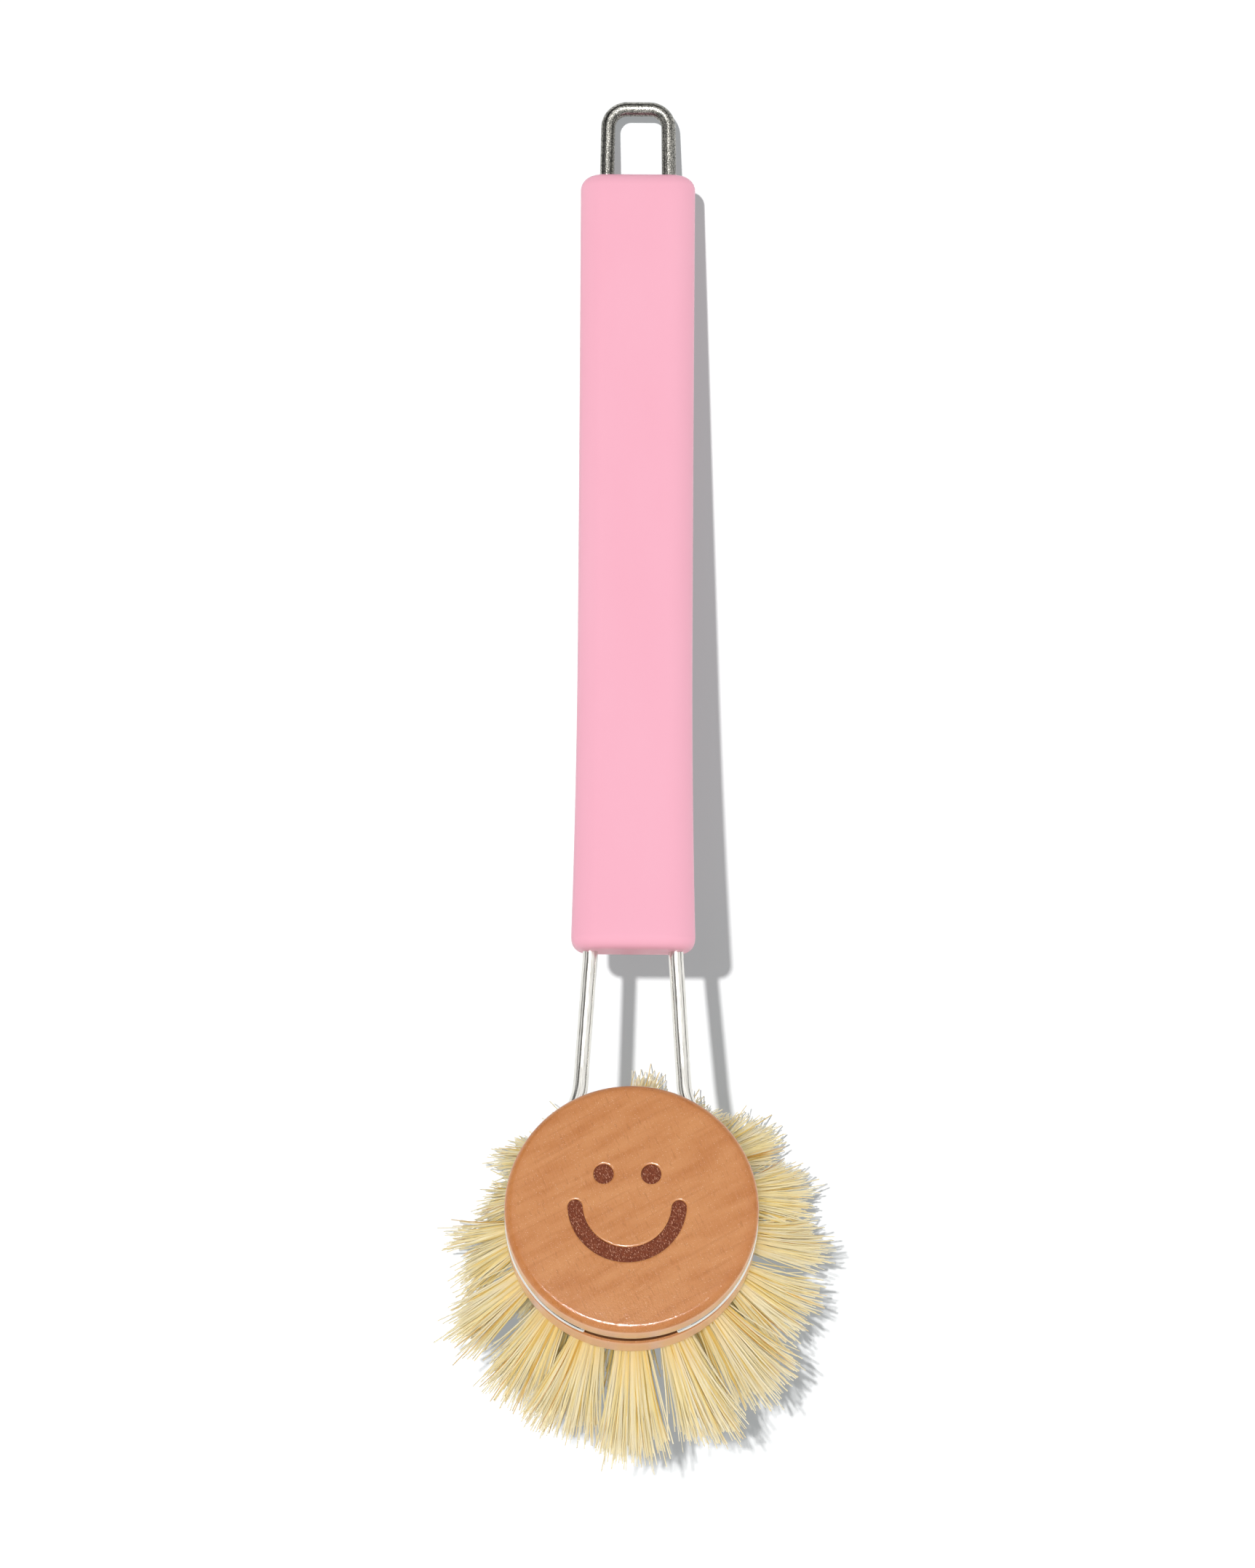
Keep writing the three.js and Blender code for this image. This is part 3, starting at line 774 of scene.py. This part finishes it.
def make_wire(material):
    half = half_wire()
    line = half + [Vector((-p.x, p.y, p.z)) for p in reversed(half)]
    first = (line[1] - line[0]).normalized() * WIRE_END_BEVEL
    last = (line[-2] - line[-1]).normalized() * WIRE_END_BEVEL
    line = [line[0], line[0] + first, *line[1:-1], line[-1] + last, line[-1]]
    radii = [WIRE_RADIUS] * len(line)
    radii[0] = radii[-1] = WIRE_RADIUS - WIRE_END_BEVEL
    bm = bmesh.new()
    tube(bm, line, radii, WIRE_SIDES)
    mesh = mesh_from(bm, "bent_wire")
    lengths = np.cumsum([0] + [(b - a).length for a, b in zip(line, line[1:])])
    middle = lengths[-1] / 2
    places = []
    dull_and_shaded = []
    for i, length in enumerate(lengths):
        past_loop = abs(length - middle) / LOOP_REACH - DULL_AND_SHADED_REACHES
        for k in range(WIRE_SIDES):
            angle = 2 * math.pi * k / WIRE_SIDES
            places += [WIRE_RADIUS * math.cos(angle), WIRE_RADIUS * math.sin(angle), length]
            dull_and_shaded.append(1 - min(1, max(0, past_loop)))
    mesh.attributes.new("wire_place", "FLOAT_VECTOR", "POINT").data.foreach_set("vector", places)
    mesh.attributes.new("wire_dull_and_shaded", "FLOAT", "POINT").data.foreach_set("value", dull_and_shaded)
    return make_piece(
        "bent_wire",
        mesh,
        HANDLE_FRAME,
        material,
        "handle_frame",
        ["wire_frame"],
        WIRE_SHARP_ANGLE,
    )


# Head

def side_wall(top, bottom, steps):
    return straight(Vector((HEAD_RADIUS, top)), Vector((HEAD_RADIUS, bottom)), steps)


def head_profile():
    """Radius and height from the flat top down the side, round the groove, to the flat bottom."""
    edge = HEAD_RADIUS - TOP_EDGE_RADIUS
    low_edge = HEAD_RADIUS - LOWER_EDGE_RADIUS
    half = GROOVE_WIDTH / 2
    lip = HEAD_RADIUS - GROOVE_LIP
    low_lip = HEAD_RADIUS - GROOVE_LOW_LIP
    floor = (GROOVE_FLOOR_RADIUS + half, 0)
    side_top = HEAD_TOP - TOP_EDGE_RADIUS
    side_low = HEAD_BOTTOM + LOWER_EDGE_RADIUS
    return (
        arc((edge, side_top), TOP_EDGE_RADIUS, 0, math.pi / 2, TOP_EDGE_STEPS)
        + side_wall(side_top, half + GROOVE_LIP, SIDE_STEPS)
        + arc((lip, half + GROOVE_LIP), GROOVE_LIP, math.pi / 2, math.pi, LIP_STEPS)
        + arc(floor, half, 2 * math.pi, math.pi, GROOVE_STEPS)
        + arc((low_lip, -half - GROOVE_LOW_LIP), GROOVE_LOW_LIP, 0, math.pi / 2, LOW_LIP_STEPS)
        + side_wall(-half - GROOVE_LOW_LIP, side_low, LOW_SIDE_STEPS)
        + arc((low_edge, side_low), LOWER_EDGE_RADIUS, math.pi / 2, math.pi, LOWER_EDGE_STEPS)
    )


def circle(centre, radius, height, count):
    angles = [2 * math.pi * i / count for i in range(count)]
    return [(centre[0] + radius * math.cos(a), centre[1] + radius * math.sin(a), height) for a in angles]


def mouth_outline(grow, height):
    """Outline of the smile's mouth, an arc of even width with round ends, grown by a margin."""
    arc_steps = 60
    end_steps = 14
    half = MOUTH_WIDTH / 2 + grow
    centre = (SMILE_X, MOUTH_HEIGHT)
    low = math.pi - MOUTH_HALF_ANGLE
    high = math.pi + MOUTH_HALF_ANGLE
    outline = arc(centre, MOUTH_RADIUS + half, low, high, arc_steps)
    left_end = arc(centre, MOUTH_RADIUS, high, high, 0)[0]
    right_end = arc(centre, MOUTH_RADIUS, low, low, 0)[0]
    outline += arc(left_end, half, high, high + math.pi, end_steps)[1:-1]
    outline += arc(centre, MOUTH_RADIUS - half, high, low, arc_steps)
    outline += arc(right_end, half, low + math.pi, low + 2 * math.pi, end_steps)[1:-1]
    return [(p.x, p.y, height) for p in outline]


def eye_outline(side):
    def outline(grow, height):
        centre = (SMILE_X + side * EYE_SPACING / 2, EYE_HEIGHT)
        return circle(centre, EYE_DIAMETER / 2 + grow, height, EYE_SIDES)

    return outline


def burn(bm, outline):
    """Shallow recess below the top face, with a worn lip. Returns the ring of its upper edge."""
    lip = BURN_BEVEL + BURN_LIP
    upper = ring_of(bm, outline(lip + BURN_MARGIN, HEAD_TOP))
    lip_edge = ring_of(bm, outline(lip, HEAD_TOP))
    bevel = ring_of(bm, outline(BURN_BEVEL, HEAD_TOP - BURN_LIP_DROP))
    shoulder = ring_of(bm, outline(0, HEAD_TOP - BURN_BEVEL))
    floor = ring_of(bm, outline(-BURN_BEVEL / 2, HEAD_TOP - BURN_DEPTH))
    bridge(bm, upper, lip_edge)
    bridge(bm, lip_edge, bevel)
    bridge(bm, bevel, shoulder)
    bridge(bm, shoulder, floor, BURNT)
    fill(bm, [floor], (0, 0, 1), BURNT)
    return upper


def tufts():
    """Every tuft's row, radius, angle, drilled slant, fibre slant and turn, outermost row first."""
    outer = ROWS[0][1]
    for name, radius, count in ROWS:
        for i in range(count):
            angle = -math.pi / 2 + 2 * math.pi * i / count
            share = radius / outer
            lean = math.radians(OUTER_LEANS.get(i, 0) if name == "outer" else 0)
            turn = math.radians(OUTER_TURNS.get(i, 0) if name == "outer" else 0)
            yield name, radius, angle, HOLE_SPLAY * share, TUFT_SPLAY * share + lean, turn


def tuft_hole(bm, radius, angle, slant):
    """Drilled blind hole in the lower face. Returns the ring of its mouth."""
    mouth_centre = (radius * math.cos(angle), radius * math.sin(angle))
    drawn_in = radius - TUFT_HOLE_DEPTH * math.tan(slant)
    end_centre = (drawn_in * math.cos(angle), drawn_in * math.sin(angle))
    mouth = ring_of(bm, circle(mouth_centre, TUFT_RADIUS, HEAD_BOTTOM, TUFT_HOLE_SIDES))
    end_height = HEAD_BOTTOM + TUFT_HOLE_DEPTH
    end = ring_of(bm, circle(end_centre, TUFT_RADIUS, end_height, TUFT_HOLE_SIDES))
    bridge(bm, mouth, end)
    fill(bm, [end], (0, 0, -1))
    return mouth


def make_head(wood, burnt, painted_groove):
    bm = bmesh.new()
    profile = head_profile()
    rings = [ring_of(bm, circle((0, 0), point[0], point[1], HEAD_SEGMENTS)) for point in profile]
    for i in range(len(profile) - 1):
        # Faces in and just beside the groove take the painted groove shade
        in_groove = abs(profile[i][1] + profile[i + 1][1]) / 2 < GROOVE_WIDTH / 2 + GROOVE_SHADE
        bridge(bm, rings[i], rings[i + 1], PAINTED_SHADE if in_groove else WOOD)
    smile = [burn(bm, outline) for outline in (eye_outline(-1), eye_outline(1), mouth_outline)]
    holes = [tuft_hole(bm, radius, angle, slant) for _, radius, angle, slant, _, _ in tufts()]
    fill(bm, [rings[0], *smile], (0, 0, 1))
    fill(bm, [rings[-1], *holes], (0, 0, -1))
    return make_piece(
        "turned_head",
        mesh_from(bm, "turned_head"),
        HEAD_FRAME,
        [wood, burnt, painted_groove],
        "head",
        ["head_block"],
    )


# Fibre

def fibre_lines(rng, radius, angle, hole_slant, slant, turn):
    """Centrelines of one tuft's fibres in the head's frame: fibres, steps, coordinates."""
    count = FIBRES_PER_TUFT
    radial = np.array([math.cos(angle), math.sin(angle), 0])
    across = np.array([-math.sin(angle), math.cos(angle), 0])
    way_out = radial * math.sin(hole_slant) - np.array([0, 0, math.cos(hole_slant)])
    mouth = radial * radius + np.array([0, 0, HEAD_BOTTOM])

    place = (np.arange(count)[:, None] + rng.random((count, 1))) / count
    spin = np.arange(count)[:, None] * GOLDEN_ANGLE
    aside = np.sqrt(place) * np.cos(spin)
    upward = np.sqrt(place) * np.sin(spin)
    root = mouth + (across * aside + radial * upward) * ROOT_ROOM - way_out * FIBRE_ROOT_DEPTH

    clump = np.clip(np.floor((aside[:, 0] + 1) / 2 * CLUMPS), 0, CLUMPS - 1).astype(int)
    middle_clump = (CLUMPS - 1) / 2
    lean = slant + rng.normal(0, CLUMP_LEAN_SPREAD, CLUMPS)
    heading = angle + turn + (np.arange(CLUMPS) - middle_clump) * CLUMP_TURN
    heading = heading + rng.normal(0, CLUMP_TURN_SPREAD, CLUMPS)
    outward = np.stack([np.cos(heading), np.sin(heading), np.zeros(CLUMPS)], axis=1)
    reach = radius + FIBRE_LENGTH * np.sin(lean) + TIP_SWAY * outward[:, 0]
    drop = HEAD_BOTTOM - FIBRE_LENGTH * np.cos(lean)
    tip_centre = outward * reach[:, None] + drop[:, None] * np.array([0, 0, 1])
    clump_length = rng.normal(CLUMP_LENGTH, CLUMP_LENGTH_SPREAD, (CLUMPS, 1))
    axis = ((tip_centre - mouth) * clump_length)[clump]
    raised = np.cross(axis, across)
    raised /= np.linalg.norm(raised, axis=1, keepdims=True)

    length = np.clip(rng.normal(1, LENGTH_SPREAD, (count, 1)), *LENGTH_RANGE)
    from_clump = aside * CLUMPS - 2 * (clump[:, None] - middle_clump)
    stray = rng.normal(0, STRAY, (count, 3))
    stray = stray * np.where(rng.random((count, 1)) < STRAY_SHARE, STRAY_FACTOR, 1)
    stray = np.clip(stray, -STRAY_LIMIT, STRAY_LIMIT)
    fan = across * from_clump * CLUMP_RADIUS + raised * upward * TIP_DEPTH
    tip = mouth + (axis + fan) * length + stray
    lift = way_out * FIBRE_LENGTH * BEND_SHARE
    bow = rng.normal(0, BOW, (count, 3))
    middle = root + lift + (tip - root - lift) * BEND_SHARE + bow
    t = np.linspace(0, 1, FIBRE_STEPS + 1)[None, :, None]
    return root[:, None] * (1 - t) ** 2 + 2 * middle[:, None] * t * (1 - t) + tip[:, None] * t ** 2


def kept_above_floor(lines):
    """Fibres that would reach below the table are cut off just above it."""
    turn = np.array(HEAD_FRAME.to_3x3())
    place = np.array(HEAD_FRAME.translation)
    world = lines @ turn.T + place
    root_z = world[:, :1, 2]
    tip_z = world[:, -1:, 2]
    clearance = FIBRE_RADIUS
    share = np.clip((root_z - clearance) / np.maximum(root_z - tip_z, TINY), 0, 1)[:, :, None]
    return world[:, :1] + (world - world[:, :1]) * share


def soft_normal(out, ahead):
    """Normal of a fibre's upper or lower side, turned along the head's axis as in a soft tuft."""
    axis = np.array(HEAD_FRAME.to_3x3().col[2])
    above = axis - ahead * (ahead @ axis)[..., None]
    above /= np.maximum(np.linalg.norm(above, axis=2, keepdims=True), TINY)
    level = np.clip(((out * above).sum(2, keepdims=True) - UNDER_SIDE) / SIDE_BLEND, -1, 1)
    turned = out * (1 - NORMAL_TURN) + axis * level * NORMAL_TURN
    return turned / np.linalg.norm(turned, axis=2, keepdims=True)


def fibre_mesh(name, lines, rng, row_shade):
    """Thin tapered bars along the lines, as one mesh with a tone for each fibre.
    Returns the mesh and the soft normals of its face corners."""
    count, steps = lines.shape[:2]
    ahead = np.gradient(lines, axis=1)
    ahead /= np.linalg.norm(ahead, axis=2, keepdims=True)
    reference = rng.normal(size=(count, 1, 3))
    side = np.cross(ahead, np.broadcast_to(reference, ahead.shape))
    side /= np.linalg.norm(side, axis=2, keepdims=True)
    up = np.cross(ahead, side)
    taper = np.linspace(1.0, TIP_TAPER, steps)[None, :, None]
    width = FIBRE_RADIUS * rng.uniform(*WIDTH_RANGE, (count, 1, 1)) * taper
    flat = rng.uniform(*FLAT_RANGE, (count, 1, 1))
    corners = []
    normals = []
    for k in range(FIBRE_SIDES):
        angle = 2 * math.pi * k / FIBRE_SIDES
        corners.append(lines + side * width * math.cos(angle) + up * width * flat * math.sin(angle))
        facing = angle + math.pi / FIBRE_SIDES
        normals.append(soft_normal(side * math.cos(facing) + up * math.sin(facing), ahead))
    verts = np.stack(corners, axis=2)
    index = np.arange(count * steps * FIBRE_SIDES).reshape(count, steps, FIBRE_SIDES)
    beside = np.roll(index, -1, axis=2)
    quads = np.stack([index[:, :-1], beside[:, :-1], beside[:, 1:], index[:, 1:]], axis=-1)
    walls = quads.reshape(-1, 4).tolist()
    caps = np.concatenate([index[:, 0, ::-1], index[:, -1]]).tolist()
    mesh = bpy.data.meshes.new(name)
    mesh.from_pydata(verts.reshape(-1, 3).tolist(), [], walls + caps)
    per_fibre = steps * FIBRE_SIDES
    # Each fibre's own random tone, darkened by its row's painted shade
    tone = np.repeat(rng.beta(*TONE_SHAPE, count) * row_shade, per_fibre)
    height = np.tile(np.repeat(np.linspace(0, 1, steps), FIBRE_SIDES), count)
    mesh.attributes.new("fibre_tone", "FLOAT", "POINT").data.foreach_set("value", tone)
    mesh.attributes.new("fibre_height", "FLOAT", "POINT").data.foreach_set("value", height)
    walls_face = np.stack(normals, axis=2)
    here = walls_face[:, :-1]
    next_step = walls_face[:, 1:]
    wall_normals = np.stack([here, here, next_step, next_step], axis=3).reshape(-1, 3)
    cap_normals = np.repeat(np.concatenate([-ahead[:, 0], ahead[:, -1]]), FIBRE_SIDES, axis=0)
    return mesh, np.concatenate([wall_normals, cap_normals])


def make_fibre(material):
    rng = np.random.default_rng(SEED)
    pieces = []
    lines = {name: [] for name, _, _ in ROWS}
    for name, *tuft in tufts():
        lines[name].append(fibre_lines(rng, *tuft))
    for name, _, _ in ROWS:
        row = kept_above_floor(np.concatenate(lines[name]))
        mesh, normals = fibre_mesh("fibre_" + name + "_row", row, rng, ROW_PAINTED_SHADE[name])
        piece = make_piece(
            "fibre_" + name + "_row",
            mesh,
            Matrix.Identity(4),
            material,
            "head",
            ["bristles_" + name + "_row"],
            FIBRE_SHARP_ANGLE,
        )
        mesh.normals_split_custom_set(normals.tolist())
        pieces.append(piece)
    return pieces


# Stage

def make_floor():
    mesh = bpy.data.meshes.new("floor")
    signs = ((-1, -1), (1, -1), (1, 1), (-1, 1))
    corners = [(x * FLOOR_HALF, y * FLOOR_HALF, 0) for x, y in signs]
    mesh.from_pydata(corners, [], [(0, 1, 2, 3)])
    floor = bpy.data.objects.new("floor", mesh)
    bpy.context.scene.collection.objects.link(floor)
    material, tree, shader = new_material("white_table")
    bounce = add_node(tree, "ShaderNodeLightPath").outputs["Is Diffuse Ray"]
    base = mixed(tree, bounce, (FLOOR_GREY,) * 3, (FLOOR_BOUNCE,) * 3)
    tree.links.new(base, shader.inputs["Base Color"])
    glow = mixed(tree, bounce, FLOOR_GLOW, (FLOOR_BOUNCE_GLOW,) * 3)
    tree.links.new(glow, shader.inputs["Emission Color"])
    shader.inputs["Emission Strength"].default_value = 1.0
    shader.inputs["Roughness"].default_value = 1.0
    shader.inputs["Specular IOR Level"].default_value = 0.0
    mesh.materials.append(material)
    return floor


def sun(name, direction, angle, level, pieces, state):
    """Sun that gives level faces this much light, on these pieces only or on all but these."""
    lamp = bpy.data.lights.new(name, "SUN")
    towards = Vector(direction).normalized()
    lamp.energy = level * math.pi / towards.z
    lamp.angle = angle
    made = bpy.data.objects.new(name, lamp)
    made.rotation_euler = towards.to_track_quat("Z", "Y").to_euler()
    bpy.context.scene.collection.objects.link(made)
    group = bpy.data.collections.new(name + "_light")
    for i, piece in enumerate(pieces):
        group.objects.link(piece)
        group.collection_objects[i].light_linking.link_state = state
    made.light_linking.receiver_collection = group
    return made


def make_light(floor, wire, head, fibre):
    """A key for the shadow on the table. For the brush, soft boxes overhead and beside it, and glints.
    The fibre has an overhead box of its own, narrow enough to reach between the fibres."""
    sun("key", KEY_DIRECTION, KEY_ANGLE, FLOOR_KEY_LEVEL, [floor], "INCLUDE")
    sun("key_haze", KEY_DIRECTION, KEY_HAZE_ANGLE, FLOOR_HAZE_LEVEL, [floor], "INCLUDE")
    boxes = [
        sun("soft_box", SOFT_DIRECTION, SOFT_ANGLE, SOFT_LEVEL, [floor, *fibre], "EXCLUDE"),
        sun("left_box", (-1, 0, SIDE_RISE), SIDE_ANGLE, LEFT_LEVEL, [floor], "EXCLUDE"),
        sun("right_box", (1, 0, SIDE_RISE), SIDE_ANGLE, RIGHT_LEVEL, [floor], "EXCLUDE"),
        sun("fibre_box", FIBRE_DIRECTION, FIBRE_ANGLE, FIBRE_LEVEL, fibre, "INCLUDE"),
    ]
    for box in boxes:
        box.visible_glossy = False
    glints = [
        sun("wire_glint", GLINT_DIRECTION, WIRE_GLINT_ANGLE, WIRE_GLINT_LEVEL, [wire], "INCLUDE"),
        sun("rim_glint", GLINT_DIRECTION, RIM_GLINT_ANGLE, RIM_GLINT_LEVEL, [head], "INCLUDE"),
    ]
    for glint in glints:
        glint.visible_diffuse = False


def make_world():
    """White to the camera, a soft dome of fill, and in reflections a bright ceiling over dark walls
    with one dark panel."""
    world = bpy.data.worlds.new("studio")
    bpy.context.scene.world = world
    world.use_nodes = True
    tree = world.node_tree
    background = tree.nodes["Background"]
    path = add_node(tree, "ShaderNodeLightPath")
    direction = add_node(tree, "ShaderNodeTexCoord").outputs["Generated"]
    parts = add_node(tree, "ShaderNodeSeparateXYZ", {"Vector": direction})
    walls = greys(tree, parts.outputs["Z"], ROOM_WALLS)
    rightward = add_node(
        tree, "ShaderNodeMapRange", {"Value": parts.outputs["X"], "From Min": -1.0, "From Max": 1.0}
    ).outputs[0]
    room = mixed(tree, 1.0, walls, greys(tree, rightward, ROOM_PANEL), "MULTIPLY")
    slant = add_node(tree, "ShaderNodeVectorMath", {0: direction, 1: FILL_SLANT}, operation="DOT_PRODUCT")
    dome = add_node(
        tree,
        "ShaderNodeMapRange",
        {
            "Value": slant.outputs["Value"],
            "From Min": -1.0,
            "From Max": 1.0,
            "To Min": 0.0,
            "To Max": 2 * FILL_LEVEL,
        },
    ).outputs[0]
    seen = mixed(tree, path.outputs["Is Glossy Ray"], dome, room)
    seen = mixed(tree, path.outputs["Is Transmission Ray"], seen, (1, 1, 1))
    seen = mixed(tree, path.outputs["Is Camera Ray"], seen, (1, 1, 1))
    tree.links.new(seen, background.inputs["Color"])


def make_camera():
    data = bpy.data.cameras.new("camera")
    data.sensor_width = SENSOR
    data.lens = FOCAL_PIXELS / max(IMAGE_WIDTH, IMAGE_HEIGHT) * SENSOR
    data.clip_start = 0.01
    camera = bpy.data.objects.new("camera", data)
    camera.location = (CAMERA_X, CAMERA_Y, CAMERA_HEIGHT)
    camera.rotation_euler = (0, 0, CAMERA_ROLL)
    bpy.context.scene.collection.objects.link(camera)
    bpy.context.scene.camera = camera


def dress_anchors():
    steel = anchor_material()
    for name, node in frame["nodes"].items():
        if name.startswith("tuft_anchor"):
            node.data.materials.clear()
            node.data.materials.append(steel)


bpy.context.scene.view_settings.view_transform = "Standard"
make_camera()
make_handle(lacquer_material())
wire = make_wire(wire_material())
head = make_head(wood_material(), burnt_material(), groove_shade_material())
fibre = make_fibre(fibre_material())
make_light(make_floor(), wire, head, fibre)
make_world()
dress_anchors()
